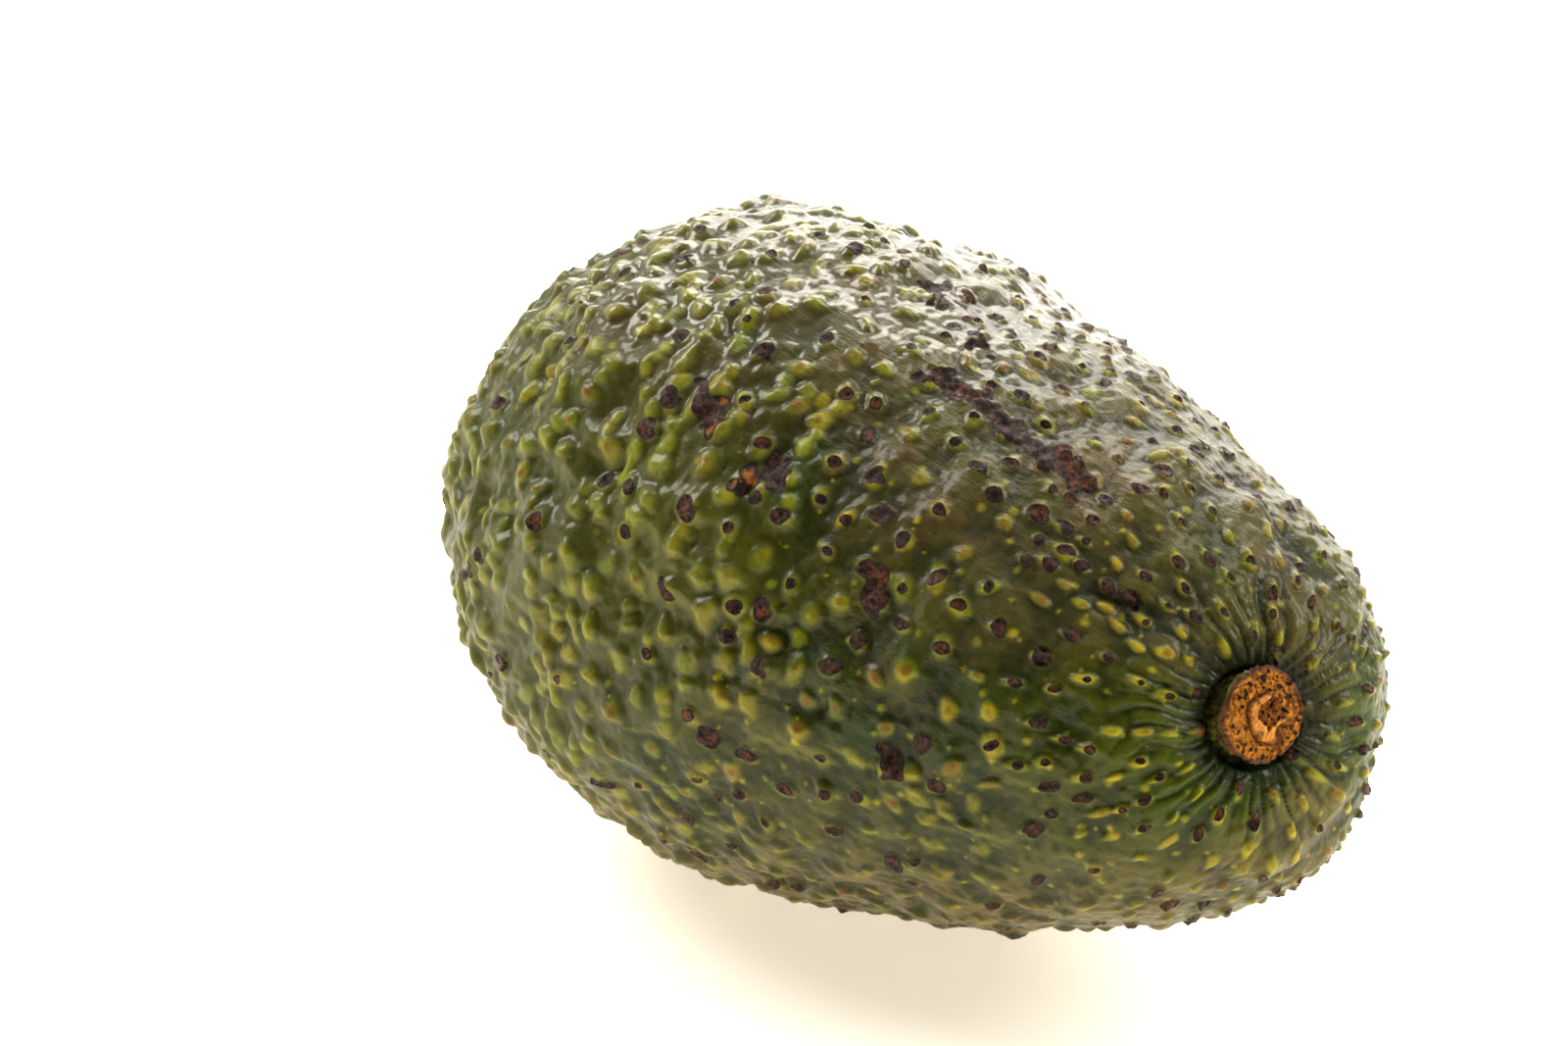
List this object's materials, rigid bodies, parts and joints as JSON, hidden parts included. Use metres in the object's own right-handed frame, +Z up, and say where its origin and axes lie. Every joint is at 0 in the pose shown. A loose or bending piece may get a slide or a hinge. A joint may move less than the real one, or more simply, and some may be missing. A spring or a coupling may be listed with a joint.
{
  "type": "avocado",
  "caption": "Whole pebbly-skinned avocado lying on its side, with the cut stub of its stem standing in a shallow funnel at the narrow end.",
  "frame": {"origin": "on the surface it rests on, under the middle of the whole fruit's bounding box", "axes": "+X along the fruit towards the stem end, +Y across it, away from the side that the neck leans to, +Z up"},
  "size_m": [0.1066, 0.067, 0.0661],
  "materials": {
    "skin": "waxy olive-green peel, semi-gloss, with pebbly bumps and small brown corky scars",
    "cork": "matte, rough, orange-brown dried stem with a paler ring"
  },
  "bodies": {
    "root": {"fruit": "skin", "stem_stub": "cork"}
  },
  "joints": []
}
